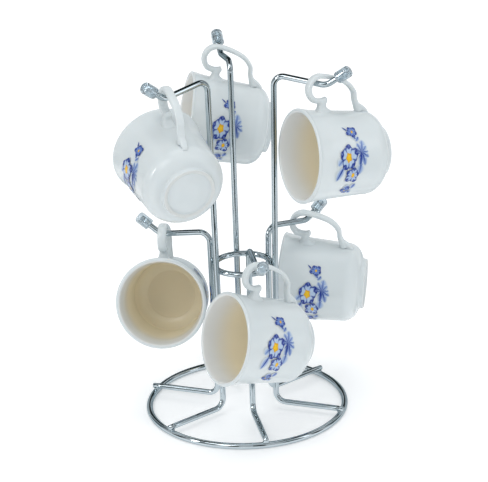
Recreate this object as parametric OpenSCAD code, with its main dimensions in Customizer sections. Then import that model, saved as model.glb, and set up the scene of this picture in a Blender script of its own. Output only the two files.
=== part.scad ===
// Mug tree: a chrome wire stand that holds six handled mugs on two tiers of hooks.
// Six bent wires stand in a ring. Each runs from a foot spoke, up a splayed upright,
// over a corner and along an arm to an upturned tip that carries a clear cap.
// The origin is the centre of the base ring on the surface that the stand rests on.

/* [Base ring] */
// Diameter of the base ring to the centre of its wire
base_ring_d = 160; // [150:1:175]
// Diameter of the wire that the base ring is bent from
base_wire_d = 5; // [4.6:0.1:6]

/* [Hook wires] */
// Diameter of the six bent wires
wire_d = 4.6; // [4:0.1:5]
// Distance from the centre to an upright, where it would meet the surface
upright_foot_r = 25.2; // [23:0.1:28]
// Outward splay of the uprights, in degrees
upright_splay = 0.96; // [0:0.02:1.5]
// Height of the corner of a tall wire
tall_corner_h = 285; // [270:1:300]
// Height of the corner of a short wire
short_corner_h = 149.5; // [140:0.5:160]
// Bend radius at the foot and the corner, to the centre of the wire
corner_bend_r = 8; // [6:0.5:10]
// Direction of the first wire about the centre, in degrees
first_wire_angle = 40; // [30:1:50]

/* [Hooks] */
// Horizontal run of an arm, from the corner to its lowest point
arm_run = 42; // [38:1:48]
// Downward slope of an arm, in degrees
arm_slope = 8; // [4:1:12]
// Upward slope of a hook's tip, in degrees
tip_slope = 35; // [30:1:40]
// Length of a hook's tip, from its lowest point to the end of its cap
tip_len = 23.5; // [21:0.5:26]
// Bend radius at the lowest point of a hook
valley_bend_r = 11; // [8:1:14]

/* [Middle ring] */
// Height of the ring that ties the uprights together
middle_ring_h = 124.5; // [110:0.5:135]
// Diameter of the wire that the middle ring is bent from
middle_wire_d = 4.6; // [4:0.1:5]

/* [End caps] */
// Outside diameter of a cap
cap_d = 8.6; // [8.4:0.1:9]
// Length of a cap
cap_len = 12; // [11:0.5:13]
// Thickness of a cap's closed end
cap_end_t = 3; // [2:0.5:4]

/* [Mug body] */
// Height of a mug
mug_h = 70; // [66:1:72]
// Outside diameter of the mug's rim
rim_d = 73.4; // [71:0.2:75]
// Outside diameter of the foot ring
foot_d = 41; // [38:0.5:44]
// Height of the foot ring
foot_h = 3.6; // [2.5:0.1:4.5]
// Radius of the mug's rounded lower edge
lower_edge_r = 13; // [11:0.5:14]
// Thickness of the mug's wall
mug_wall = 3.3; // [2.8:0.1:3.8]

/* [Mug handle] */
// Thickness of the handle's band
band_t = 4.4; // [4:0.1:4.8]
// Width of the handle's band
band_w = 7.2; // [6.6:0.1:7.6]
// Reach of the handle from the mug's centre line to its outer edge
handle_reach = 63.4; // [61:0.2:64]
// Width of the bevel along the band's edges
band_edge = 1.3; // [0.8:0.1:1.6]

/* [How the mugs hang] */
// Turn of the upper right mug on its hook
upper_right_turn = 224; // [221:1:227]
// Rise of the upper right mug's mouth, in degrees
upper_right_rise = 6; // [4:1:9]
// Lean of the upper right mug, which rests against its upright
upper_right_lean = 7; // [6:0.5:8]
// Turn of the upper left mug on its hook
upper_left_turn = 252; // [248:1:256]
// Rise of the upper left mug's mouth, in degrees
upper_left_rise = 12; // [9:1:14]
// Turn of the upper back mug on its hook
upper_back_turn = 86; // [82:1:90]
// Rise of the upper back mug's mouth, in degrees
upper_back_rise = 12; // [9:1:14]
// Turn of the lower right mug on its hook
lower_right_turn = 131; // [128:1:134]
// Rise of the lower right mug's mouth, in degrees
lower_right_rise = 4; // [2:1:6]
// Lean of the lower right mug, which rests against its upright
lower_right_lean = -7; // [-8:0.5:-6]
// Turn of the lower left mug on its hook
lower_left_turn = 104; // [100:1:108]
// Rise of the lower left mug's mouth, in degrees
lower_left_rise = 16; // [14:1:17]
// Turn of the lower front mug on its hook
lower_front_turn = 288; // [284:1:291]
// Rise of the lower front mug's mouth, in degrees
lower_front_rise = 15; // [11:1:16]

/* [Hidden] */
$fn = 64;

chrome = "silver";
clear_plastic = "whitesmoke";
glaze = "ivory";

// The base ring rests on a narrow flat, and the spokes are welded on top of it
rest_flat = 0.2;
weld_sink = 0.25;
base_ring_r = base_ring_d / 2;
base_ring_z = base_wire_d / 2 - rest_flat;
spoke_z = base_ring_z + (base_wire_d + wire_d) / 2 - weld_sink;
spoke_end_r = base_ring_r + base_wire_d / 2;

// Directions of the hooks about the centre: tall and short wires alternate
hook_step = 60;
right_short = first_wire_angle;
back_tall = first_wire_angle + hook_step;
left_short = first_wire_angle + 2 * hook_step;
left_tall = first_wire_angle + 3 * hook_step;
front_short = first_wire_angle + 4 * hook_step;
right_tall = first_wire_angle + 5 * hook_step;

// Distance from the centre to an upright at a given height
function upright_r(z) = upright_foot_r + z * tan(upright_splay);

// The middle ring lies inside the uprights and is welded to each of them
middle_ring_r = upright_r(middle_ring_h) - (wire_d + middle_wire_d) / 2 + weld_sink;

// Corner points of a wire in its own upright plane, as [out from the centre, up]
function corner_point(h) = [upright_r(h), h];
function valley_point(h) = corner_point(h) + arm_run * [1, -tan(arm_slope)];
function tip_point(h, len) = valley_point(h) + len * [cos(tip_slope), sin(tip_slope)];
function wire_points(h) = [
    [spoke_end_r, spoke_z],
    [upright_r(spoke_z), spoke_z],
    corner_point(h),
    valley_point(h),
    tip_point(h, tip_len - cap_end_t)
];
wire_bends = [0, corner_bend_r, corner_bend_r, valley_bend_r, 0];

// Direction of travel from one point to the next, and the turn at a point
function heading(a, b) = atan2(b[1] - a[1], b[0] - a[0]);
function wrap(angle) = angle > 180 ? angle - 360 : angle < -180 ? angle + 360 : angle;
function turn_at(p, i) = wrap(heading(p[i], p[i + 1]) - heading(p[i - 1], p[i]));
function along(angle) = [cos(angle), sin(angle)];

// A bend is a hair thicker than its straights, which end a little way inside it
bend_swell = 0.06;
bend_entry = 0.3;

// Distance that a bend takes off the straight on each side of its corner
function setback(p, r, i) =
    i == 0 || i == len(p) - 1 ? 0 : r[i] * tan(abs(turn_at(p, i)) / 2) - bend_entry;

// Mug profile, from the foot up the outside, over the rim and down the inside
lip_r = mug_wall / 2;
rim_r = rim_d / 2;
foot_r = foot_d / 2;
foot_wall = 2.8;
foot_recess = 1.6;
floor_z = 6.6;
edge_r_out = 32.5;
shoulder_r = 35.4;
shoulder_z = mug_h - 10;
edge_z = foot_h + 0.4 + lower_edge_r;
inner_edge_r = edge_z - floor_z;
function arc_points(centre, r, from, to, steps) =
    [for (i = [0 : steps]) centre + r * along(from + (to - from) * i / steps)];
mug_outside = concat(
    [[foot_r - foot_wall, 0], [foot_r, 0], [foot_r, foot_h]],
    arc_points([edge_r_out - lower_edge_r, edge_z], lower_edge_r, -78, 0, 6),
    [[shoulder_r, shoulder_z]]
);
mug_lip = arc_points([rim_r - lip_r, mug_h - lip_r], lip_r, 0, 180, 6);
mug_inside = concat(
    [[shoulder_r - mug_wall, shoulder_z]],
    arc_points([edge_r_out - mug_wall - inner_edge_r, edge_z], inner_edge_r, 0, -90, 5),
    [[0, floor_z], [0, foot_recess], [foot_r - foot_wall, foot_recess]]
);

// Handle centre line, as [out from the mug's axis, up from its foot]: a tight front
// bend, a long flat top and a round back that runs into a straight leg
front_bend_r = 10;
front_bend_z = 52.8;
top_bend_r = 60;
back_bend_r = 14;
front_from = -68;
front_to = 95;
top_to = 116;
back_to = 168;
band_top = handle_reach - band_t / 2;
front_centre = [band_top - front_bend_r, front_bend_z];
function swapped(v) = [v[1], v[0]];
function across(angle) = swapped(along(angle));
top_centre = front_centre - (top_bend_r - front_bend_r) * across(front_to);
back_centre = top_centre + (top_bend_r - back_bend_r) * across(top_to);
swollen_t = band_t + bend_swell;
top_entry = 0.3;
leg_way = across(back_to + 90);
leg_start = back_centre + back_bend_r * across(back_to) - bend_entry * leg_way;
leg_len = 13.6;
leg_end = leg_start + leg_len * leg_way;
tail_start = [34.3, 21];
tail_end = [31.6, 12.5];
tail_t = 4;

// Where a hook's wire runs through the handle, up from the mug's foot: right, left and
// back mugs above, and right, left and front mugs below
upper_hang_z = [51, 53, 50];
lower_hang_z = [53, 50, 53];
// The slack under the band, which is more where the wire crosses the band aslant
snug_slack = 1.4;
easy_slack = 1.7;
loose_slack = 2.3;

// Lowest point of a hook's bend, on the centre of the wire
function hook_point(h) =
    valley_point(h)
    + valley_bend_r * tan((arm_slope + tip_slope) / 2) * [-cos(arm_slope), sin(arm_slope)]
    + valley_bend_r * [sin(arm_slope), cos(arm_slope) - 1];

// A straight length of wire between two points of an upright plane
module straight(a, b, d) {
    translate([a[0], 0, a[1]])
        rotate([0, 90 - heading(a, b), 0])
            cylinder(h = norm(b - a), d = d);
}

// A bend of wire at corner i of the points p
module bend(p, i, r, d) {
    turn = turn_at(p, i);
    side = sign(turn);
    into = heading(p[i - 1], p[i]);
    start = p[i] - r * tan(abs(turn) / 2) * along(into);
    centre = start + side * r * along(into + 90);
    first = side > 0 ? into - 90 : into + 90 - abs(turn);
    translate([centre[0], 0, centre[1]])
        rotate([90, 0, 0])
            rotate([0, 0, first])
                rotate_extrude(angle = abs(turn))
                    translate([r, 0])
                        circle(d = d);
}

// A wire of diameter d bent along the points p, with radius r[i] at corner i
module bent_wire(p, r, d) {
    for (i = [0 : len(p) - 2]) {
        out = along(heading(p[i], p[i + 1]));
        straight(p[i] + setback(p, r, i) * out, p[i + 1] - setback(p, r, i + 1) * out, d);
    }
    for (i = [1 : len(p) - 2])
        bend(p, i, r[i], d + bend_swell);
}

module ring(r, d, z) {
    translate([0, 0, z])
        rotate_extrude()
            translate([r, 0])
                circle(d = d);
}

module base_ring() {
    color(chrome)
        difference() {
            ring(base_ring_r, base_wire_d, base_ring_z);
            translate([0, 0, -base_wire_d])
                cylinder(h = base_wire_d, r = base_ring_r + base_wire_d);
        }
}

module middle_ring() {
    color(chrome)
        ring(middle_ring_r, middle_wire_d, middle_ring_h);
}

module hook_wire(angle, h) {
    color(chrome)
        rotate([0, 0, angle])
            bent_wire(wire_points(h), wire_bends, wire_d);
}

// A clear sleeve with a domed end, pushed onto the tip of a hook
module end_cap(angle, h) {
    dome_r = cap_d / 2;
    end = tip_point(h, tip_len);
    color(clear_plastic)
        rotate([0, 0, angle])
            translate([end[0], 0, end[1]])
                rotate([0, 90 - tip_slope, 0])
                    translate([0, 0, -cap_len])
                        difference() {
                            rotate_extrude()
                                intersection() {
                                    square([dome_r, cap_len]);
                                    union() {
                                        square([dome_r, cap_len - dome_r]);
                                        translate([0, cap_len - dome_r])
                                            circle(r = dome_r);
                                    }
                                }
                            translate([0, 0, -1])
                                cylinder(h = cap_len - cap_end_t + 1, d = wire_d);
                        }
}

// Puts a mug, drawn upright with its handle along +X, on the hook at an angle and height
module hung(angle, h, turn, rise, lean, slack, along_z) {
    hook = hook_point(h);
    rotate([0, 0, angle])
        translate([hook[0], 0, hook[1] + wire_d / 2])
            rotate([0, 0, turn])
                rotate([0, -rise, 0])
                    rotate([180 + lean, 0, 0])
                        rotate([0, 90, 0])
                            translate([slack + band_t - handle_reach, 0, -along_z])
                                children();
}

module cup() {
    color(glaze)
        rotate_extrude()
            polygon(concat(mug_outside, mug_lip, mug_inside));
}

// Cross-section of the handle's band, with its edges taken off
module band_section(t) {
    w = band_w + t - band_t;
    polygon([
        [-t / 2, w / 2 - band_edge],
        [-t / 2 + band_edge, w / 2],
        [t / 2 - band_edge, w / 2],
        [t / 2, w / 2 - band_edge],
        [t / 2, band_edge - w / 2],
        [t / 2 - band_edge, -w / 2],
        [band_edge - t / 2, -w / 2],
        [-t / 2, band_edge - w / 2]
    ]);
}

// Part of the handle's band, bent about a centre in the handle's plane
module band_arc(centre, r, from, to, t) {
    translate([centre[0], 0, centre[1]])
        rotate([90, 0, 0])
            rotate([0, 0, 90 - to])
                rotate_extrude(angle = to - from)
                    translate([r, 0])
                        band_section(t);
}

module band_leg(a, b) {
    translate([a[0], 0, a[1]])
        rotate([0, 90 - heading(a, b), 0])
            linear_extrude(norm(b - a))
                band_section(band_t);
}

// The block that joins the front of the band to the cup, with a small spur inside the loop
module handle_root() {
    rotate([90, 0, 0])
        linear_extrude(band_w - 0.6, center = true)
            polygon([
                [33, 44.4],
                [35.4, 45.4],
                [37, 47.8],
                [40.4, 48.2],
                [41.8, 47.6],
                [42.7, 48.8],
                [42.4, 51],
                [43, 53.6],
                [44.4, 58.2],
                [41, 58.2],
                [38.2, 54.6],
                [36.2, 54.8],
                [33, 57]
            ]);
}

module handle() {
    color(glaze) {
        band_arc(front_centre, front_bend_r, front_from, front_to, swollen_t);
        band_arc(top_centre, top_bend_r, front_to - top_entry, top_to + top_entry, band_t);
        band_arc(back_centre, back_bend_r, top_to, back_to, swollen_t);
        band_leg(leg_start, leg_end);
        handle_root();
        straight(tail_start, tail_end, tail_t);
    }
}

// Where each mug hangs
module upper_right() {
    hung(right_tall, tall_corner_h, upper_right_turn, upper_right_rise, upper_right_lean, loose_slack, upper_hang_z[0])
        children();
}

module upper_left() {
    hung(left_tall, tall_corner_h, upper_left_turn, upper_left_rise, 0, easy_slack, upper_hang_z[1])
        children();
}

module upper_back() {
    hung(back_tall, tall_corner_h, upper_back_turn, upper_back_rise, 0, snug_slack, upper_hang_z[2])
        children();
}

module lower_right() {
    hung(right_short, short_corner_h, lower_right_turn, lower_right_rise, lower_right_lean, loose_slack, lower_hang_z[0])
        children();
}

module lower_left() {
    hung(left_short, short_corner_h, lower_left_turn, lower_left_rise, 0, loose_slack, lower_hang_z[1])
        children();
}

module lower_front() {
    hung(front_short, short_corner_h, lower_front_turn, lower_front_rise, 0, snug_slack, lower_hang_z[2])
        children();
}

base_ring();
middle_ring();
hook_wire(right_tall, tall_corner_h);  // tall_wire_right
hook_wire(left_tall, tall_corner_h);  // tall_wire_left
hook_wire(back_tall, tall_corner_h);  // tall_wire_back
hook_wire(right_short, short_corner_h);  // short_wire_right
hook_wire(left_short, short_corner_h);  // short_wire_left
hook_wire(front_short, short_corner_h);  // short_wire_front
end_cap(right_tall, tall_corner_h);  // tall_right_cap
end_cap(left_tall, tall_corner_h);  // tall_left_cap
end_cap(back_tall, tall_corner_h);  // tall_back_cap
end_cap(right_short, short_corner_h);  // short_right_cap
end_cap(left_short, short_corner_h);  // short_left_cap
end_cap(front_short, short_corner_h);  // short_front_cap
upper_right() cup();  // upper_right_cup
upper_left() cup();  // upper_left_cup
upper_back() cup();  // upper_back_cup
lower_right() cup();  // lower_right_cup
lower_left() cup();  // lower_left_cup
lower_front() cup();  // lower_front_cup
upper_right() handle();  // upper_right_handle
upper_left() handle();  // upper_left_handle
upper_back() handle();  // upper_back_handle
lower_right() handle();  // lower_right_handle
lower_left() handle();  // lower_left_handle
lower_front() handle();  // lower_front_handle
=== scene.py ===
"""A chrome wire mug tree with six glazed mugs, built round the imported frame.

Sizes of the object are in millimetres, and those of the studio round it are in metres.
"""
import math
import random

import bmesh
import bpy
from mathutils import Matrix, Vector, noise


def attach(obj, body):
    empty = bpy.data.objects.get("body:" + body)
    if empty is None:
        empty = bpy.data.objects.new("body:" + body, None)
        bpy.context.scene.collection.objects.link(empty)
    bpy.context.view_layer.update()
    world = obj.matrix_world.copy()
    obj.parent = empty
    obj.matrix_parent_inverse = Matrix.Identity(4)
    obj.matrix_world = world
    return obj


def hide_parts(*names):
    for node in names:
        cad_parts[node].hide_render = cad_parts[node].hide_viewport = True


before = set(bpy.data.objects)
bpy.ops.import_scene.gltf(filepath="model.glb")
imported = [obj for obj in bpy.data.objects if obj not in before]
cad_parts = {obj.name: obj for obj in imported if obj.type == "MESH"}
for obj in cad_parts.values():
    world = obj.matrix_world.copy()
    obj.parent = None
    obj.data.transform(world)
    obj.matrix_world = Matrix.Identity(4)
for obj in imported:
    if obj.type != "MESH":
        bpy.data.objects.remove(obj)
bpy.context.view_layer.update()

MM = 0.001
rng = random.Random(7)

# The stand, as the frame has it
BASE_RING_R = 80.0
BASE_WIRE_R = 2.5
BASE_RING_Z = BASE_WIRE_R - 0.2
WIRE_R = 2.3
WELD_SINK = 0.25
SPOKE_Z = BASE_RING_Z + BASE_WIRE_R + WIRE_R - WELD_SINK
SPOKE_END_R = BASE_RING_R + BASE_WIRE_R
UPRIGHT_FOOT_R = 25.2
UPRIGHT_SPLAY = math.radians(0.96)
TALL_H = 285.0
SHORT_H = 149.5
CORNER_BEND_R = 8.0
ARM_RUN = 42.0
ARM_SLOPE = math.radians(8)
TIP_SLOPE = math.radians(35)
TIP_LEN = 23.5
VALLEY_BEND_R = 11.0
MIDDLE_RING_H = 124.5
CAP_R = 4.7
CAP_LEN = 12.2
CAP_END_T = 3.0

# The hooks: direction about the centre, in degrees, and height of the corner
HOOKS = {
    "tall_right": (340, TALL_H),
    "tall_left": (220, TALL_H),
    "tall_back": (100, TALL_H),
    "short_right": (40, SHORT_H),
    "short_left": (160, SHORT_H),
    "short_front": (280, SHORT_H),
}

# The slack between a hook's wire and the band of the handle that hangs on it
SNUG_SLACK = 1.4
EASY_SLACK = 1.7
LOOSE_SLACK = 2.3

# The mugs: hook; turn on the hook, rise of the mouth and lean, in degrees; slack; and how far up from
# the mug's foot the wire runs through the handle
MUGS = {
    "upper_right": ("tall_right", 224, 6, 7, LOOSE_SLACK, 51),
    "upper_left": ("tall_left", 252, 12, 0, EASY_SLACK, 53),
    "upper_back": ("tall_back", 86, 12, 0, SNUG_SLACK, 50),
    "lower_right": ("short_right", 131, 4, -7, LOOSE_SLACK, 53),
    "lower_left": ("short_left", 104, 16, 0, LOOSE_SLACK, 50),
    "lower_front": ("short_front", 288, 15, 0, SNUG_SLACK, 53),
}

# Degrees that each mug's print is set round from the usual place, as transfers are put on by hand
PRINT_TURN = {
    "upper_right": 0,
    "upper_left": -1,
    "upper_back": 1,
    "lower_right": 2.5,
    "lower_left": 2,
    "lower_front": 5.5,
}

# The mug's own sizes
MUG_H = 70.0
RIM_R = 36.7
FOOT_R = 20.5
FOOT_H = 3.6
FOOT_WALL = 2.8
FOOT_RECESS = 1.6
LOWER_EDGE_R = 13.0
EDGE_R_OUT = 32.5
EDGE_Z = FOOT_H + 0.4 + LOWER_EDGE_R
SHOULDER_R = 35.4
WALL = 3.3
FLOOR_Z = 6.6
FLOOR_DIP = 0.7
HANDLE_REACH = 63.4
BAND_T = 4.4


# ---------------------------------------------------------------- geometry helpers

def new_object(name, mesh):
    obj = bpy.data.objects.new(name, mesh)
    bpy.context.scene.collection.objects.link(obj)
    return obj


def smooth(mesh):
    for poly in mesh.polygons:
        poly.use_smooth = True
    return mesh


def mesh_from(name, verts, faces):
    mesh = bpy.data.meshes.new(name)
    mesh.from_pydata([tuple(c * MM for c in v) for v in verts], [], faces)
    mesh.update()
    return smooth(mesh)


def arc(centre, radius, start, end, steps):
    """Points on an arc in a plane, from one angle to another in degrees."""
    points = []
    for i in range(steps + 1):
        a = math.radians(start + (end - start) * i / steps)
        points.append((centre[0] + radius * math.cos(a), centre[1] + radius * math.sin(a)))
    return points


def lerp(a, b, t):
    return a + (b - a) * t


def mix(a, b, t):
    return tuple(lerp(x, y, t) for x, y in zip(a, b))


def step_between(low, high, x):
    """0 below low, 1 above high and a smooth rise between them."""
    t = min(max((x - low) / (high - low), 0.0), 1.0)
    return t * t * (3 - 2 * t)


def revolve(name, profile, segments):
    """A closed surface turned about Z from (radius, height) points, with poles where the radius is 0."""
    verts, rings = [], []
    for r, z in profile:
        if r < 1e-6:
            rings.append([len(verts)])
            verts.append((0, 0, z))
            continue
        ring = []
        for i in range(segments):
            a = 2 * math.pi * i / segments
            ring.append(len(verts))
            verts.append((r * math.cos(a), r * math.sin(a), z))
        rings.append(ring)
    faces = []
    for low, high in zip(rings, rings[1:]):
        for i in range(segments):
            j = (i + 1) % segments
            if len(low) == 1:
                faces.append((low[0], high[j], high[i]))
            elif len(high) == 1:
                faces.append((low[i], low[j], high[0]))
            else:
                faces.append((low[i], low[j], high[j], high[i]))
    return mesh_from(name, verts, faces)


def skin(rows, sides, closed=False):
    """The faces that join rows of vertices, one loop to the next, with flat ends unless it is closed."""
    faces = []
    for i in range(rows if closed else rows - 1):
        near, far = i * sides, (i + 1) % rows * sides
        for k in range(sides):
            j = (k + 1) % sides
            faces.append((near + k, near + j, far + j, far + k))
    if not closed:
        faces.append(tuple(range(sides - 1, -1, -1)))
        faces.append(tuple(range((rows - 1) * sides, rows * sides)))
    return faces


def tube(path, sides, radius, closed=False):
    """Vertices and faces of a round tube along a path in space; radius is a function of the share."""
    count = len(path)
    verts = []
    normal = None
    for i, p in enumerate(path):
        before = path[(i - 1) % count] if closed or i > 0 else path[i]
        after = path[(i + 1) % count] if closed or i < count - 1 else path[i]
        along = (after - before).normalized()
        if normal is None:
            normal = along.orthogonal().normalized()
        normal = (normal - along * normal.dot(along)).normalized()
        side = along.cross(normal)
        r = radius(i / max(count - 1, 1))
        for k in range(sides):
            a = 2 * math.pi * k / sides
            verts.append(p + (normal * math.cos(a) + side * math.sin(a)) * r)
    return verts, skin(count, sides, closed)


# ---------------------------------------------------------------- materials

def link(tree, a, out, b, into):
    tree.links.new(a.outputs[out], b.inputs[into])


def node(tree, kind, **values):
    made = tree.nodes.new(kind)
    for key, value in values.items():
        if hasattr(made, key):
            setattr(made, key, value)
        else:
            made.inputs[key.replace("_", " ")].default_value = value
    return made


def start_material(name):
    mat = bpy.data.materials.new(name)
    mat.use_nodes = True
    tree = mat.node_tree
    shader = tree.nodes["Principled BSDF"]
    coords = tree.nodes.new("ShaderNodeTexCoord")
    return mat, tree, shader, coords


def noise_between(tree, coords, scale, low, high, detail=3.0):
    """A noise of that scale (per metre), mapped to lie between two values."""
    tex = node(tree, "ShaderNodeTexNoise", Scale=scale, Detail=detail)
    link(tree, coords, "Object", tex, "Vector")
    span = tree.nodes.new("ShaderNodeMapRange")
    span.inputs["To Min"].default_value = low
    span.inputs["To Max"].default_value = high
    link(tree, tex, "Fac", span, "Value")
    return span


def set_inputs(shader, **values):
    for key, value in values.items():
        shader.inputs[key.replace("_", " ")].default_value = value


def colour_mix(tree, first=None, second=None):
    """A mix of two colours, either of which may be linked in later."""
    made = tree.nodes.new("ShaderNodeMix")
    made.data_type = "RGBA"
    for socket, colour in (("A", first), ("B", second)):
        if colour:
            made.inputs[socket].default_value = (*colour, 1)
    return made


def clouded(tree, coords, scale, first, second, detail=3.0):
    """A colour that drifts between two, in clouds of that scale (per metre)."""
    tint = colour_mix(tree, first, second)
    cloud = noise_between(tree, coords, scale, 0, 1, detail)
    link(tree, cloud, "Result", tint, "Factor")
    return tint


def noise_bump(tree, coords, scale, detail, strength, distance):
    tex = node(tree, "ShaderNodeTexNoise", Scale=scale, Detail=detail)
    link(tree, coords, "Object", tex, "Vector")
    bump = node(tree, "ShaderNodeBump", Strength=strength, Distance=distance)
    link(tree, tex, "Fac", bump, "Height")
    return bump


def chrome_material():
    mat, tree, shader, coords = start_material("chrome_wire")
    set_inputs(shader, Metallic=1.0, Specular_Tint=(0.30, 0.36, 0.38, 1))
    tint = clouded(tree, coords, 60, (0.52, 0.59, 0.63), (0.645, 0.71, 0.745))
    link(tree, tint, "Result", shader, "Base Color")
    dull = noise_between(tree, coords, 220, 0.03, 0.10, 5)
    link(tree, dull, "Result", shader, "Roughness")
    ripple = noise_bump(tree, coords, 420.0, 4.0, 0.02, 0.0003)
    link(tree, ripple, "Normal", shader, "Normal")
    return mat


def cap_material():
    mat, tree, shader, coords = start_material("clear_cap")
    set_inputs(shader, Transmission_Weight=0.80, IOR=1.5)
    set_inputs(shader, Coat_Weight=1.0, Coat_IOR=1.9, Coat_Roughness=0.03)
    haze = clouded(tree, coords, 300, (0.60, 0.70, 0.76), (0.66, 0.75, 0.81))
    link(tree, haze, "Result", shader, "Base Color")
    dull = noise_between(tree, coords, 500, 0.05, 0.09)
    link(tree, dull, "Result", shader, "Roughness")
    scuff = noise_bump(tree, coords, 900.0, 3.0, 0.01, 0.0001)
    link(tree, scuff, "Normal", shader, "Normal")
    return mat


def glaze_surface(tree, shader, coords):
    """The gloss, faint orange peel and slight softness that all glazed faces share."""
    set_inputs(shader, Specular_IOR_Level=0.32, Coat_Weight=0.22, Coat_Roughness=0.05)
    set_inputs(shader, Subsurface_Weight=0.12, Subsurface_Scale=1.0)
    set_inputs(shader, Subsurface_Radius=(0.004, 0.0035, 0.003))
    gloss = noise_between(tree, coords, 90, 0.16, 0.30, 4)
    link(tree, gloss, "Result", shader, "Roughness")
    wave = noise_bump(tree, coords, 70.0, 1.0, 0.10, 0.001)
    peel = noise_bump(tree, coords, 700.0, 2.0, 0.05, 0.0002)
    link(tree, wave, "Normal", peel, "Normal")
    link(tree, peel, "Normal", shader, "Normal")


WHITE_GLAZE = (0.65, 0.705, 0.725)
WARM_GLAZE = (0.69, 0.73, 0.735)
# The white glaze inside, just below the lip, made lighter than the outside glaze with painted light where
# light falls into the mouth
LIP_WHITE_PAINTED_LIGHT = (0.73, 0.745, 0.745)
# A darker cream for the dip in the middle of the cup's floor
DIP_CREAM_DARKER = (0.85, 0.775, 0.60)
CREAM = (0.90, 0.81, 0.61)
PALE_CREAM = (0.90, 0.84, 0.69)


def white_glaze_material():
    mat, tree, shader, coords = start_material("white_glaze")
    glaze_surface(tree, shader, coords)
    tint = clouded(tree, coords, 35, WHITE_GLAZE, WARM_GLAZE)
    link(tree, tint, "Result", shader, "Base Color")
    return mat


def cream_glaze_material():
    """The inside of a cup: white at the lip and lightened there with painted light, cream further in, and
    a darker cream in the dip of its floor.
    """
    mat, tree, shader, coords = start_material("cream_glaze")
    glaze_surface(tree, shader, coords)
    height = node(tree, "ShaderNodeAttribute", attribute_name="height")
    depth = node(tree, "ShaderNodeMapRange", interpolation_type="SMOOTHSTEP",
                 From_Min=(MUG_H - 5) * MM, From_Max=(MUG_H - 28) * MM)
    link(tree, height, "Fac", depth, "Value")
    cream = clouded(tree, coords, 40, CREAM, PALE_CREAM)
    # The lip's white, brightened with painted light, fades to cream further in
    lip = colour_mix(tree, LIP_WHITE_PAINTED_LIGHT)
    link(tree, cream, "Result", lip, "B")
    link(tree, depth, "Result", lip, "Factor")
    # The floor's dip is given the darker cream
    dip_mask = node(tree, "ShaderNodeMapRange", From_Min=FLOOR_Z * MM, From_Max=(FLOOR_Z - 0.6) * MM)
    link(tree, height, "Fac", dip_mask, "Value")
    dip_darkened = colour_mix(tree, None, DIP_CREAM_DARKER)
    link(tree, lip, "Result", dip_darkened, "A")
    link(tree, dip_mask, "Result", dip_darkened, "Factor")
    link(tree, dip_darkened, "Result", shader, "Base Color")
    return mat


def bare_foot_material():
    """The unglazed ring that a mug stands on."""
    mat, tree, shader, coords = start_material("bare_foot")
    grain = clouded(tree, coords, 900, (0.61, 0.63, 0.62), (0.70, 0.72, 0.71), 6)
    link(tree, grain, "Result", shader, "Base Color")
    rough = noise_between(tree, coords, 400, 0.6, 0.85)
    link(tree, rough, "Result", shader, "Roughness")
    tooth = noise_bump(tree, coords, 1500.0, 5.0, 0.3, 0.0002)
    link(tree, tooth, "Normal", shader, "Normal")
    return mat


def paint_material():
    """Flower colours under the glaze: the painted tone of each petal, washed by the brush."""
    mat, tree, shader, coords = start_material("flower_paint")
    glaze_surface(tree, shader, coords)
    set_inputs(shader, Subsurface_Weight=0)
    paint = node(tree, "ShaderNodeVertexColor", layer_name="paint")
    wash = noise_between(tree, coords, 1400, -0.14, 0.16, 4)
    faded = colour_mix(tree, None, WHITE_GLAZE)
    link(tree, paint, "Color", faded, "A")
    link(tree, wash, "Result", faded, "Factor")
    link(tree, faded, "Result", shader, "Base Color")
    return mat


CHROME = chrome_material()
CLEAR = cap_material()
WHITE = white_glaze_material()
INSIDE = cream_glaze_material()
BARE = bare_foot_material()
PAINT = paint_material()


# ---------------------------------------------------------------- the wire stand

def upright_r(z):
    """How far an upright's centre line stands from the middle at a height."""
    return UPRIGHT_FOOT_R + z * math.tan(UPRIGHT_SPLAY)


def valley_point(h):
    """The sharp corner between arm and tip, as (out, up), for a hook whose top corner is at height h."""
    return (upright_r(h) + ARM_RUN, h - ARM_RUN * math.tan(ARM_SLOPE))


def along_tip(h, length):
    out, up = valley_point(h)
    return (out + length * math.cos(TIP_SLOPE), up + length * math.sin(TIP_SLOPE))


def rounded_path(corners, radii):
    """The corners of a bent wire with each bend turned into an arc."""
    steps = 14
    path = [Vector(corners[0])]
    for i in range(1, len(corners) - 1):
        at = Vector(corners[i])
        back = (Vector(corners[i - 1]) - at).normalized()
        on = (Vector(corners[i + 1]) - at).normalized()
        half = back.angle(on) / 2
        centre = at + (back + on).normalized() * (radii[i] / math.sin(half))
        first = at + back * (radii[i] / math.tan(half)) - centre
        last = at + on * (radii[i] / math.tan(half)) - centre
        turn = first.angle(last)
        for k in range(steps + 1):
            t = k / steps
            spoke = (first * math.sin((1 - t) * turn) + last * math.sin(t * turn)) / math.sin(turn)
            path.append(centre + spoke)
    path.append(Vector(corners[-1]))
    return path


def filled_path(path, gap):
    """The same path with extra points, so that no straight is longer than gap."""
    filled = [path[0]]
    for a, b in zip(path, path[1:]):
        parts = max(1, math.ceil((b - a).length / gap))
        filled += [a.lerp(b, k / parts) for k in range(1, parts + 1)]
    return filled


def turned(points, degrees):
    turn = Matrix.Rotation(math.radians(degrees), 3, "Z")
    return [turn @ p for p in points]


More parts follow.
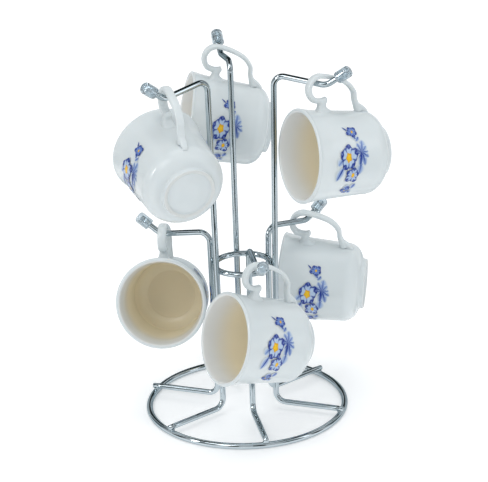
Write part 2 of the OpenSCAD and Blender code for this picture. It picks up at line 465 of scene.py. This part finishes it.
def hook_wire(hook):
    """One wire, from its foot on the base ring up to its tip inside the cap."""
    angle, h = HOOKS[hook]
    end_round, end_r = 0.012, 0.86
    corners = [
        (SPOKE_END_R, SPOKE_Z),
        (upright_r(SPOKE_Z), SPOKE_Z),
        (upright_r(h), h),
        valley_point(h),
        along_tip(h, TIP_LEN - CAP_END_T),
    ]
    flat = rounded_path(corners, [0, CORNER_BEND_R, CORNER_BEND_R, VALLEY_BEND_R, 0])
    path = [Vector((p.x, 0, p.y)) for p in filled_path(flat, 8)]

    def radius(share):
        near = min(share, 1 - share) / end_round
        return WIRE_R * (1 if near > 1 else lerp(end_r, 1, math.sqrt(near * (2 - near))))

    verts, faces = tube(turned(path, angle), 32, radius)
    kind, place = hook.split("_")
    name = f"{kind}_wire_{place}"
    piece = new_object(name + "_bent", mesh_from(name, verts, faces))
    piece.data.materials.append(CHROME)
    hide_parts(name)
    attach(piece, "stand")


def closed_ring(name, ring_r, wire_r, z, seam, node_name):
    """A ring of wire whose ends meet in a ground-down butt weld at the seam, in degrees."""
    count, weld_swell, weld_half = 160, 0.05, 1.6
    path = []
    for i in range(count):
        a = 2 * math.pi * i / count
        path.append(Vector((ring_r * math.cos(a), ring_r * math.sin(a), z)))

    def radius(share):
        away = abs((share * 360 - seam + 180) % 360 - 180) * math.radians(ring_r)
        return wire_r * (1 + weld_swell * math.exp(-(away / weld_half) ** 2))

    verts, faces = tube(path, 28, radius, closed=True)
    verts = [Vector((v.x, v.y, max(v.z, 0))) for v in verts]
    piece = new_object(name, mesh_from(name, verts, faces))
    piece.data.materials.append(CHROME)
    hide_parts(node_name)
    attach(piece, "stand")


def weld_bead(name, centre, long_way, short_way, sizes):
    """A small fillet of weld metal: a lump that hugs two crossing wires."""
    bm = bmesh.new()
    bmesh.ops.create_icosphere(bm, subdivisions=4, radius=1)
    up = long_way.cross(short_way).normalized()
    for v in bm.verts:
        p = v.co.copy()
        waist = 1 - 0.28 * math.exp(-(p.x / 0.35) ** 2) * abs(p.y)
        rough = 1 + 0.035 * noise.noise(p * 2.3 + centre * 0.1)
        q = long_way * (p.x * sizes[0]) + short_way * (p.y * sizes[1] * waist) + up * (p.z * sizes[2])
        v.co = (centre + q * rough) * MM
    mesh = bpy.data.meshes.new(name)
    bm.to_mesh(mesh)
    bm.free()
    piece = new_object(name, smooth(mesh))
    piece.data.materials.append(CHROME)
    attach(piece, "stand")


def stand_welds():
    """A bead where each foot crosses the base ring, and one where each upright meets the middle ring."""
    foot_sizes, ring_sizes = (2.9, 2.4, 1.15), (1.9, 2.5, 1.0)
    middle_r = upright_r(MIDDLE_RING_H) - WIRE_R
    for hook, (angle, _) in HOOKS.items():
        a = math.radians(angle)
        out = Vector((math.cos(a), math.sin(a), 0))
        across = Vector((-math.sin(a), math.cos(a), 0))
        foot = out * (BASE_RING_R - 0.3) + Vector((0, 0, BASE_RING_Z + BASE_WIRE_R))
        weld_bead(f"{hook}_foot_weld", foot, across, out, foot_sizes)
        tie = out * middle_r + Vector((0, 0, MIDDLE_RING_H))
        weld_bead(f"{hook}_ring_weld", tie, across, Vector((0, 0, 1)), ring_sizes)


# ---------------------------------------------------------------- caps

def end_cap(hook):
    """A clear sleeve with a rounded end, moulded close round the tip of the wire."""
    angle, h = HOOKS[hook]
    end_round = 2.4
    profile = [(0, 0), (WIRE_R, 0), (CAP_R - 0.45, 0), (CAP_R - 0.12, 0.2), (CAP_R, 0.6)]
    profile += [(CAP_R, CAP_LEN * k / 6) for k in range(1, 5)]
    profile += arc((CAP_R - end_round, CAP_LEN - end_round), end_round, 0, 90, 8)
    profile += [(1.2, CAP_LEN), (0, CAP_LEN)]
    mesh = revolve(f"{hook}_cap", profile, 48)
    mesh.materials.append(CLEAR)
    out, up = along_tip(h, TIP_LEN - CAP_LEN)
    place = Matrix.Rotation(math.radians(angle), 4, "Z")
    place = place @ Matrix.Translation((out * MM, 0, up * MM))
    mesh.transform(place @ Matrix.Rotation(math.pi / 2 - TIP_SLOPE, 4, "Y"))
    piece = new_object(f"{hook}_clear_cap", mesh)
    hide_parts(f"{hook}_cap")
    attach(piece, "stand")


# ---------------------------------------------------------------- mugs

def hook_point(h):
    """The lowest point of a hook's bend, on the wire's centre line."""
    out, up = valley_point(h)
    back = VALLEY_BEND_R * math.tan((ARM_SLOPE + TIP_SLOPE) / 2)
    out += -back * math.cos(ARM_SLOPE) + VALLEY_BEND_R * math.sin(ARM_SLOPE)
    up += back * math.sin(ARM_SLOPE) + VALLEY_BEND_R * (math.cos(ARM_SLOPE) - 1)
    return out, up


def hang_matrix(mug):
    """Where a mug hangs, from its own frame: its foot at the origin, its mouth up, its handle along +X."""
    hook, turn, rise, lean, slack, along = MUGS[mug]
    angle, h = HOOKS[hook]
    out, up = hook_point(h)
    place = Matrix.Rotation(math.radians(angle), 4, "Z")
    place = place @ Matrix.Translation((out * MM, 0, (up + WIRE_R) * MM))
    place = place @ Matrix.Rotation(math.radians(turn), 4, "Z")
    place = place @ Matrix.Rotation(math.radians(-rise), 4, "Y")
    place = place @ Matrix.Rotation(math.radians(180 + lean), 4, "X")
    place = place @ Matrix.Rotation(math.pi / 2, 4, "Y")
    reach = HANDLE_REACH - BAND_T - slack
    return place @ Matrix.Translation((-reach * MM, 0, -along * MM))


def wall_points(inset):
    """The cup's side from the lower edge to the lip: a slight taper, then a flare."""
    steps, soft = 24, 0.12
    points = []
    for k in range(1, steps + 1):
        t = k / steps
        z = lerp(EDGE_Z, MUG_H - 1.6, t)
        flare = (RIM_R - SHOULDER_R - 0.2) * step_between(0.72, 1.05, t) ** 1.2
        taper = (math.sqrt(t * t + soft * soft) - soft) / (math.sqrt(1 + soft * soft) - soft)
        r = lerp(EDGE_R_OUT, SHOULDER_R, taper) + flare
        points.append((r - inset, z))
    return points


def cup_outside():
    """Radius and height from the foot's standing ring up to the lip."""
    foot_round = 0.7
    points = [(FOOT_R - FOOT_WALL + 0.6, 0)]
    points += arc((FOOT_R - foot_round, foot_round), foot_round, -90, 0, 4)
    points += [(FOOT_R + 0.05, 1.4)]
    points += arc((FOOT_R + 2.4, 1.95), 2.3, 180, 104, 8)
    points += arc((EDGE_R_OUT - LOWER_EDGE_R, EDGE_Z), LOWER_EDGE_R, -76, 0, 16)
    return points + wall_points(0)


def cup_inside():
    """Radius and height over the lip, down the inside and across the floor, which dips in its middle."""
    lip = WALL / 2
    points = arc((RIM_R - lip, MUG_H - lip), lip, 10, 170, 12)
    points += [(r, z) for r, z in reversed(wall_points(WALL)) if z < MUG_H - 2.6]
    inner_r = EDGE_Z - FLOOR_Z
    points += arc((EDGE_R_OUT - WALL - inner_r, EDGE_Z), inner_r, 0, -79, 14)
    dip = FLOOR_Z - FLOOR_DIP
    points += [(20.5, FLOOR_Z + 0.14), (20.1, FLOOR_Z), (19.8, FLOOR_Z - 0.3), (19.4, dip + 0.08)]
    return points + [(r, dip) for r in (19, 14, 7, 0)]


def cup_under():
    """The recess inside the foot, from the middle out."""
    inner = FOOT_R - FOOT_WALL
    return [(0, FOOT_RECESS), (7, FOOT_RECESS), (inner - 1.4, FOOT_RECESS),
            (inner - 0.4, FOOT_RECESS * 0.72), (inner, FOOT_RECESS * 0.3), (inner + 0.6, 0)]


# The points of cup_outside, counted from the foot up, that radius_at leaves out
FOOT_POINTS = 11


def radius_at(z):
    """The cup's outside radius at a height."""
    outside = cup_outside()[FOOT_POINTS:]
    for (r0, z0), (r1, z1) in zip(outside, outside[1:]):
        if z0 <= z <= z1:
            return lerp(r0, r1, (z - z0) / max(z1 - z0, 1e-9))
    return RIM_R


def cup_mesh(name):
    """The cup, with its heights kept as an attribute and its three finishes told apart face by face."""
    mesh = revolve(name, cup_under() + cup_outside()[1:] + cup_inside(), 144)
    height = mesh.attributes.new("height", "FLOAT", "POINT")
    for i, v in enumerate(mesh.vertices):
        height.data[i].value = v.co.z
    for mat in (WHITE, INSIDE, BARE):
        mesh.materials.append(mat)
    for poly in mesh.polygons:
        c = poly.center / MM
        r = math.hypot(c.x, c.y)
        inward = poly.normal.x * c.x + poly.normal.y * c.y < -0.3 * r
        floor = poly.normal.z > 0.5 and r < EDGE_R_OUT - WALL and c.z > FLOOR_Z - 1
        if c.z < 0.25 and poly.normal.z < -0.5:
            poly.material_index = 2
        elif (inward and c.z > FOOT_H) or floor:
            poly.material_index = 1
    return mesh


# The handle's centre line in the mug's own plane, as (out from the axis, up from the foot)
SPUR = [(44.2, 47.8), (43.2, 49.6), (42.3, 52.0), (42.0, 54.8)]
FRONT_R = 10.0
FRONT = (HANDLE_REACH - BAND_T / 2 - FRONT_R, 52.8)
TOP_R = 60.0
BACK_R = 19.0
LEG_END = [(42.2, 23.3), (38.4, 21.8), (35.0, 20.4), (32.4, 19.4)]
TAIL_RIDGE = [(36.4, 20.8), (35.3, 18.4), (34.0, 16.1), (32.4, 14.1), (30.6, 12.8)]

# The neck's outline: out from the axis, height of its middle, half its height, half its width
NECK_LEVELS = [
    (31.6, 50.0, 7.6, 5.8),
    (33.6, 50.0, 7.2, 5.6),
    (34.8, 50.2, 6.0, 4.9),
    (35.8, 50.7, 4.6, 4.3),
    (37.0, 51.2, 3.6, 3.8),
    (38.6, 51.4, 3.1, 3.5),
    (40.2, 51.2, 3.3, 3.4),
    (41.6, 50.9, 3.9, 3.3),
    (42.6, 50.7, 3.9, 3.0),
]


def handle_path():
    """From the spur inside the loop, round the front, over the top and down the leg into the cup."""
    def on(centre, r, degrees):
        a = math.radians(degrees)
        return (centre[0] + r * math.sin(a), centre[1] + r * math.cos(a))

    start, join, crest, heel = -56, 95, 113, 155
    top = on(FRONT, FRONT_R - TOP_R, join)
    back = on(top, TOP_R - BACK_R, crest)
    path = SPUR + [on(FRONT, FRONT_R, a) for a in range(start, join, 9)]
    path += [on(top, TOP_R, join + k * (crest - join) / 5) for k in range(1, 6)]
    path += [on(back, BACK_R, crest + k * (heel - crest) / 6) for k in range(1, 7)]
    return path + LEG_END


def spline(points, per_span):
    """A smooth curve through the points, which is a Catmull-Rom spline."""
    out = []
    n = len(points)
    for i in range(n - 1):
        p0, p1 = Vector(points[max(i - 1, 0)]), Vector(points[i])
        p2, p3 = Vector(points[i + 1]), Vector(points[min(i + 2, n - 1)])
        for k in range(per_span):
            t = k / per_span
            out.append(0.5 * ((2 * p1) + (p2 - p0) * t + (2 * p0 - 5 * p1 + 4 * p2 - p3) * t * t
                              + (3 * p1 - p0 - 3 * p2 + p3) * t ** 3))
    out.append(Vector(points[-1]))
    return out


def squared(share, power):
    """A sine or cosine pushed outwards, which squares off the circle that it draws."""
    return math.copysign(abs(share) ** power, share)


def band_verts(path, thick, wide):
    """A band of soft oblong section along a path in the XZ plane, with blunt rounded ends."""
    sides = 24
    verts = []
    n = len(path)
    for i, p in enumerate(path):
        a, b = path[max(i - 1, 0)], path[min(i + 1, n - 1)]
        along = (b - a).normalized()
        normal = Vector((along.y, -along.x))
        share = i / (n - 1)
        t, w = thick(share) / 2, wide(share) / 2
        for k in range(sides):
            ang = 2 * math.pi * k / sides
            c, s = math.cos(ang), math.sin(ang)
            q = p + normal * (squared(c, 0.72) * t)
            verts.append((q.x, squared(s, 0.72) * w, q.y))
    return verts, skin(n, sides)


def neck_verts():
    """The short neck under the front of the loop, flaring where it meets the cup."""
    sides = 28
    verts = []
    for out, up, half_up, half_across in NECK_LEVELS:
        for k in range(sides):
            a = 2 * math.pi * k / sides
            across = squared(math.sin(a), 0.8) * half_across
            verts.append((out, across, up + squared(math.cos(a), 0.8) * half_up))
    return verts, skin(len(NECK_LEVELS), sides)


def bake_modifiers(obj):
    """The object's mesh as its modifiers leave it."""
    graph = bpy.context.evaluated_depsgraph_get()
    made = bpy.data.meshes.new_from_object(obj.evaluated_get(graph))
    obj.modifiers.clear()
    old = obj.data
    obj.data = made
    bpy.data.meshes.remove(old)
    return obj.data


# The cell size in which the handle's pieces are fused
VOXEL = 0.42


def handle_mesh():
    """The band and its neck, fused and softened as slip-cast clay is."""
    path = spline(handle_path(), 6)

    def thick(share):
        spur = step_between(0.0, 0.10, share)
        front = lerp(2.3, 4.3, spur)
        rear = lerp(front, 3.5, step_between(0.42, 0.70, share))
        return lerp(rear, 5.4, step_between(0.90, 1.0, share))

    def wide(share):
        spur = lerp(4.6, 7.3, step_between(0.0, 0.13, share))
        rear = lerp(spur, 6.6, step_between(0.5, 0.8, share))
        return lerp(rear, 7.2, step_between(0.92, 1.0, share))

    def ridge_thick(share):
        return lerp(5.8, 3.6, share)

    def ridge_wide(share):
        return lerp(6.2, 4.4, share)

    band = band_verts(path, thick, wide)
    ridge = band_verts(spline(TAIL_RIDGE, 4), ridge_thick, ridge_wide)
    verts, faces = [], []
    for more, more_faces in (band, ridge, neck_verts()):
        base = len(verts)
        verts += more
        faces += [tuple(i + base for i in f) for f in more_faces]
    obj = new_object("handle_work", mesh_from("handle_work", verts, faces))
    bm = bmesh.new()
    bm.from_mesh(obj.data)
    bmesh.ops.recalc_face_normals(bm, faces=bm.faces)
    bm.to_mesh(obj.data)
    bm.free()
    remesh = obj.modifiers.new("fuse", "REMESH")
    remesh.mode = "VOXEL"
    remesh.voxel_size = VOXEL * MM
    soften = obj.modifiers.new("soften", "SMOOTH")
    soften.factor = 0.6
    soften.iterations = 7
    mesh = smooth(bake_modifiers(obj))
    bpy.data.objects.remove(obj)
    mesh.name = "mug_handle"
    mesh.materials.append(WHITE)
    return mesh


# ---------------------------------------------------------------- painted flowers

DEEP = (0.005, 0.023, 0.24)
BLUE = (0.024, 0.078, 0.36)
LILAC = (0.24, 0.36, 0.66)
PALE = (0.46, 0.58, 0.74)
YELLOW = (0.86, 0.52, 0.004)
ORANGE = (0.66, 0.33, 0.004)


# Paint lies a hair off the glaze, each stroke a step above the last, and is measured round this radius
PAINT_LIFT = 0.035
PAINT_STEP = 0.012
PRINT_R = 34.5


class Painting:
    """Flat painted shapes laid on the cup's side, with a colour at each corner."""

    def __init__(self):
        self.verts, self.faces, self.colours = [], [], []
        self.layer = 0

    def spot(self, round_mm, up_mm):
        """A point on the glaze: round_mm from the middle of the handled side, up_mm from the foot."""
        r = radius_at(up_mm) + PAINT_LIFT + PAINT_STEP * self.layer
        a = -round_mm / PRINT_R
        return (r * math.cos(a), r * math.sin(a), up_mm)

    def grid(self, place, paint, nu, nv):
        """A patch: place(u, v) is where it lies and paint(u, v) its colour, for u and v from 0 to 1."""
        base = len(self.verts)
        for i in range(nu + 1):
            for k in range(nv + 1):
                u, v = i / nu, k / nv
                self.verts.append(self.spot(*place(u, v)))
                self.colours.append(paint(u, v))
        for i in range(nu):
            for k in range(nv):
                a = base + i * (nv + 1) + k
                self.faces.append((a, a + 1, a + nv + 2, a + nv + 1))
        self.layer += 1

    def lens(self, start, way, length, width, paint, belly=0.55, blunt=0.8, curl=0.0, ruffle=0.0,
             nu=14, nv=8, tall=1.0):
        """A petal or leaf from start, pointing way degrees from straight up the cup."""
        a = math.radians(way)
        along = (math.sin(a), math.cos(a) * tall)
        side = (math.cos(a), -math.sin(a) * tall)

        def place(u, v):
            body = math.sin(math.pi * u ** belly) ** blunt if u < 1 else 0
            edge = 1 + ruffle * math.sin(u * 12 + v * 3)
            b = (v * 2 - 1) * width / 2 * body * edge
            bend = curl * length * u * u
            reach = length * u * (1 + ruffle * math.sin(v * 9) * u)
            x = start[0] + along[0] * reach + side[0] * (b + bend)
            y = start[1] + along[1] * reach + side[1] * (b + bend)
            return x, y

        self.grid(place, paint, nu, nv)

    def disc(self, centre, r, inner, outer):
        """A flower's heart: an uneven oval that darkens at its edge."""
        def place(u, v):
            a = 2 * math.pi * v
            wobble = 1 + 0.16 * math.sin(5 * a + centre[0])
            x = centre[0] + math.cos(a) * r * 1.25 * u * wobble
            y = centre[1] + math.sin(a) * r * 0.85 * u * wobble
            return x, y

        self.grid(place, lambda u, v: mix(inner, outer, step_between(0.45, 0.95, u)), 5, 18)

    def flower(self, centre, size, petals, turn, tall=1.0, depth=0.0, heart=0.26):
        """An open flower: ruffled petals with a dark brushed edge round a yellow heart."""
        for k in range(petals):
            way = turn + 360 * k / petals + rng.uniform(-7, 7)
            length = size * rng.uniform(0.74, 1.08)
            grain = rng.uniform(0, 6)

            def paint(u, v, grain=grain):
                side = abs(v * 2 - 1)
                uneven = 0.07 * math.sin(v * 9 + grain)
                rim = max(step_between(0.68 + uneven, 0.88, u),
                          step_between(0.56, 0.90, side) * step_between(0.2, 0.55, u))
                veins = 0.30 * step_between(0.2, 0.7, u) * (0.5 + 0.5 * math.sin(v * 21 + grain))
                core = step_between(0.40, 0.20, u)
                tone = mix(PALE, LILAC, min(veins + 0.5 * core + depth, 1))
                tone = mix(tone, BLUE, min(1, rim * 1.4 + depth * 0.6))
                tone = mix(tone, DEEP, step_between(0.30, 0.80, rim))
                return mix(tone, LILAC, 0.55 * step_between(0.94, 1.0, max(u, side)))

            self.lens(centre, way, length, size * 0.92, paint, belly=1.5, blunt=0.55, ruffle=0.15,
                      nu=24, nv=16, tall=tall)
        self.disc(centre, size * heart, YELLOW, ORANGE)

    def wash(self, start, way, length, width, depth, curl=0.0):
        """The broad pale stroke of a watercolour leaf, fading into the glaze."""
        def paint(u, v):
            side = abs(v * 2 - 1)
            tone = mix(PALE, mix(LILAC, BLUE, 0.45 * depth), depth * (1 - 0.4 * side))
            return mix(tone, WHITE_GLAZE, max(step_between(0.30, 1.0, side), step_between(0.75, 1.0, u)))

        self.lens(start, way, length, width * 1.8, paint, belly=0.8, curl=curl)

    def rib(self, start, way, length, width, depth, curl=0.0):
        """The narrow dark stroke down the middle of a leaf."""
        def paint(u, v):
            side = abs(v * 2 - 1)
            tone = mix(LILAC, DEEP, min(1, depth * (1.1 - 0.6 * u)))
            return mix(tone, mix(PALE, LILAC, depth), step_between(0.3, 1.0, side))

        self.lens(start, way, length * 0.9, width * 0.5, paint, belly=0.7, curl=curl, nv=6)

    def leaves(self, shapes):
        """Every wash before any rib, so that no leaf hides another's rib."""
        for shape in shapes:
            self.wash(*shape)
        for shape in shapes:
            self.rib(*shape)

    def stem(self, start, way, length, width, curl=0.0):
        self.lens(start, way, length, width, lambda u, v: mix(DEEP, BLUE, u), belly=0.6, curl=curl, nv=4)

    def mesh(self, name):
        mesh = mesh_from(name, self.verts, self.faces)
        colours = mesh.color_attributes.new("paint", "FLOAT_COLOR", "POINT")
        for i, c in enumerate(self.colours):
            colours.data[i].color = (*c, 1)
        mesh.materials.append(PAINT)
        return mesh


def spray_mesh():
    """One upright spray: two open flowers, two buds, a fan of leaves and short stems."""
    art = Painting()
    # Leaves and stems first, so that the flowers lie on them. A frond is way, length, width and depth.
    fan = (47.5, 32.8)
    fronds = ((-92, 10.5, 5.0, 0.6), (-58, 9.0, 3.4, 0.8), (-24, 9.5, 3.0, 0.9), (16, 6.0, 3.0, 0.7),
              (55, 6.5, 3.0, 0.8), (86, 13.5, 4.2, 1.0), (112, 12.0, 3.6, 1.0), (146, 8.0, 3.2, 0.9),
              (190, 6.0, 2.8, 0.8), (232, 7.0, 3.0, 0.7))
    art.leaves([(fan, *frond, rng.uniform(-0.12, 0.12)) for frond in fronds])
    art.leaves((((57, 33.5), 78, 9.0, 4.4, 0.7, 0.1), ((37.0, 37.2), -75, 5.0, 3.0, 0.9, 0.12),
                ((35.0, 34.4), 60, 5.0, 2.4, 0.9, -0.1), ((52.5, 49.8), 50, 6.4, 4.0, 0.5, 0.0),
                ((58.5, 48.8), 64, 13.0, 4.0, 0.8, 0.05)))
    art.stem((59.5, 49.3), 66, 11.0, 1.1, 0.04)
    art.stem((47, 33.5), 84, 12.0, 1.1, 0.04)
    art.stem((29.5, 43.0), -50, 4.5, 1.1, 0.1)
    # The low bud and its leaves
    art.leaves((((76.0, 40.2), 20, 5.5, 2.8, 1.0), ((74.0, 36.2), 70, 6.0, 3.0, 1.0)))
    art.flower((80.8, 43.2), 4.1, 3, -15, 1.1, 0.9, 0.16)
    art.leaves((((82.0, 39.8), 130, 4.0, 2.8, 1.0),))
    # The high bud and the two open flowers
    art.flower((30.9, 38.9), 4.8, 5, 15, 0.95, 0.75, 0.2)
    art.flower((51.0, 44.6), 11.2, 5, -90, 0.68)
    art.flower((65.4, 40.0), 6.1, 5, 40, 1.0, 0.1)
    return art.mesh("flower_spray")


def make_mugs():
    """Six copies of one mug, each with its place put into its own mesh."""
    parts = (
        (cup_mesh("mug_cup"), "cup_glazed", "cup"),
        (handle_mesh(), "handle_glazed", "handle"),
        (spray_mesh(), "flowers", None),
    )
    for mug in MUGS:
        place = hang_matrix(mug)
        body = mug + "_mug"
        for mesh, part, node_name in parts:
            shape = mesh.copy()
            if not node_name:
                shape.transform(Matrix.Rotation(math.radians(PRINT_TURN[mug]), 4, "Z"))
            shape.transform(place)
            piece = new_object(f"{mug}_{part}", shape)
            if node_name:
                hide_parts(f"{mug}_{node_name}")
            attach(piece, body)


# ---------------------------------------------------------------- studio

# The height that the camera and most of the lights are aimed at
AIM_H = 0.150


def make_camera():
    """The photo's view: from the front, looking down a little, with a slight roll."""
    data = bpy.data.cameras.new("camera")
    cam = new_object("camera", data)
    pitch, roll, distance = math.radians(21.14), math.radians(-1.8), 1.655
    ahead = Vector((0, math.cos(pitch), -math.sin(pitch)))
    cam.location = Vector((0, 0, AIM_H)) - ahead * distance
    cam.rotation_mode = "QUATERNION"
    level = ahead.to_track_quat("-Z", "Y")
    cam.rotation_quaternion = level @ Matrix.Rotation(roll, 3, "Z").to_quaternion()
    data.sensor_width = 36
    data.lens = 153.3
    data.shift_x = 0.0042
    data.shift_y = -0.0137
    data.clip_start, data.clip_end = 0.05, 20
    bpy.context.scene.camera = cam


def make_floor():
    mesh = bpy.data.meshes.new("floor")
    half = 9.0
    corners = [(-half, -half, 0), (half, -half, 0), (half, half, 0), (-half, half, 0)]
    mesh.from_pydata(corners, [], [(0, 1, 2, 3)])
    floor = new_object("floor", mesh)
    mat = bpy.data.materials.new("pale_floor")
    mat.use_nodes = True
    shader = mat.node_tree.nodes["Principled BSDF"]
    set_inputs(shader, Base_Color=(0.84, 0.845, 0.85, 1), Roughness=0.8)
    set_inputs(shader, Emission_Color=(1, 1, 1, 1), Emission_Strength=0.28)
    mesh.materials.append(mat)


def area_light(name, place, aim, size, power, colour=(1, 1, 1)):
    """A soft box at a place, turned to face its aim."""
    data = bpy.data.lights.new(name, "AREA")
    data.shape = "RECTANGLE"
    data.size, data.size_y = size
    data.energy = power
    data.color = colour
    lamp = new_object(name, data)
    lamp.location = place
    lamp.rotation_mode = "QUATERNION"
    lamp.rotation_quaternion = (Vector(aim) - Vector(place)).to_track_quat("-Z", "Y")
    return lamp


def reflection_card(name, corners, shade):
    """A dark card seen only in reflections, which gives the chrome its dark streaks."""
    mesh = bpy.data.meshes.new(name)
    mesh.from_pydata(corners, [], [tuple(range(len(corners)))])
    card = new_object(name, mesh)
    card.visible_camera = card.visible_diffuse = False
    card.visible_shadow = card.visible_transmission = False
    mat = bpy.data.materials.new(name)
    mat.use_nodes = True
    shader = mat.node_tree.nodes["Principled BSDF"]
    set_inputs(shader, Base_Color=(*shade, 1), Roughness=0.9, Specular_IOR_Level=0.0)
    mesh.materials.append(mat)


def standing_card(name, angle, width, shade):
    """An upright card that faces the middle, at an angle round it in degrees."""
    away, low, high = 1.5, 0.05, 1.3
    a, half = math.radians(angle), width / 2
    out = Vector((math.cos(a), math.sin(a), 0)) * away
    across = Vector((-math.sin(a), math.cos(a), 0)) * half
    up = Vector((0, 0, 1))
    reflection_card(name, [out - across + up * low, out + across + up * low,
                           out + across + up * high, out - across + up * high], shade)


def lying_card(name, start, end, shade):
    """A card just off the floor, outside the base ring, from one angle to another in degrees."""
    near, far, lift = 0.16, 1.4, 0.0005
    corners = []
    for r, order in ((near, 1), (far, -1)):
        for t in (0, 0.5, 1)[::order]:
            a = math.radians(lerp(start, end, t))
            corners.append((r * math.cos(a), r * math.sin(a), lift))
    reflection_card(name, corners, shade)


NIGHT = (0.012, 0.022, 0.022)
SLATE = (0.10, 0.13, 0.14)
HAZE = (0.40, 0.45, 0.47)

# Angle round the middle, width in metres and shade
STANDING = (
    (-78, 0.36, NIGHT),
    (-40, 0.66, SLATE),
    (-8, 0.30, NIGHT),
    (22, 0.60, SLATE),
    (150, 0.66, SLATE),
    (188, 0.36, NIGHT),
    (222, 0.72, SLATE),
    (254, 0.30, NIGHT),
)

# From one angle round the middle to another, and shade
LYING = (
    (-116, -60, NIGHT),
    (-40, -28, SLATE),
    (-6, 8, HAZE),
    (20, 36, SLATE),
    (50, 130, HAZE),
    (150, 164, SLATE),
    (180, 196, HAZE),
    (206, 214, SLATE),
)


def make_studio():
    """A pale floor, four soft boxes, one strip seen only in gloss, and dark cards for the chrome."""
    make_floor()
    middle = (0, 0, AIM_H)
    area_light("key", (-1.4, -1.8, 2.2), middle, (1.6, 1.6), 18.5)
    area_light("fill", (2.0, -1.2, 1.2), middle, (1.2, 1.8), 7.6, (0.94, 0.97, 1.0))
    area_light("back", (0.4, 2.2, 1.8), middle, (2.4, 1.2), 12)
    area_light("top", (0, 0, 2.6), (0, 0, 0), (1.4, 1.4), 16)
    strip = area_light("strip", (-1.05, -0.55, 0.62), (0, 0, 0.2), (0.14, 0.40), 3)
    strip.visible_diffuse = False
    for k, (angle, width, shade) in enumerate(STANDING):
        standing_card(f"standing_card_{k}", angle, width, shade)
    for k, (start, end, shade) in enumerate(LYING):
        lying_card(f"lying_card_{k}", start, end, shade)
    ceiling = [(-1.1, -0.7, 1.8), (1.1, -0.7, 1.8), (1.1, 1.5, 1.8), (-1.1, 1.5, 1.8)]
    reflection_card("ceiling_card", ceiling, NIGHT)
    back_wall = [(-1.2, 1.5, 0.66), (1.2, 1.5, 0.66), (1.2, 1.5, 1.8), (-1.2, 1.5, 1.8)]
    reflection_card("back_card", back_wall, NIGHT)
    world = bpy.data.worlds.new("studio")
    bpy.context.scene.world = world
    world.use_nodes = True
    back = world.node_tree.nodes["Background"]
    back.inputs["Color"].default_value = (0.95, 0.98, 1.0, 1)
    back.inputs["Strength"].default_value = 0.62
    bpy.context.scene.view_settings.view_transform = "Standard"


make_camera()
make_studio()
for hook in HOOKS:
    hook_wire(hook)
    end_cap(hook)
closed_ring("base_ring_wire", BASE_RING_R, BASE_WIRE_R, BASE_RING_Z, seam=95, node_name="base_ring")
middle_ring_r = upright_r(MIDDLE_RING_H) - 2 * WIRE_R + WELD_SINK
closed_ring("middle_ring_wire", middle_ring_r, WIRE_R, MIDDLE_RING_H, seam=70, node_name="middle_ring")
stand_welds()
make_mugs()
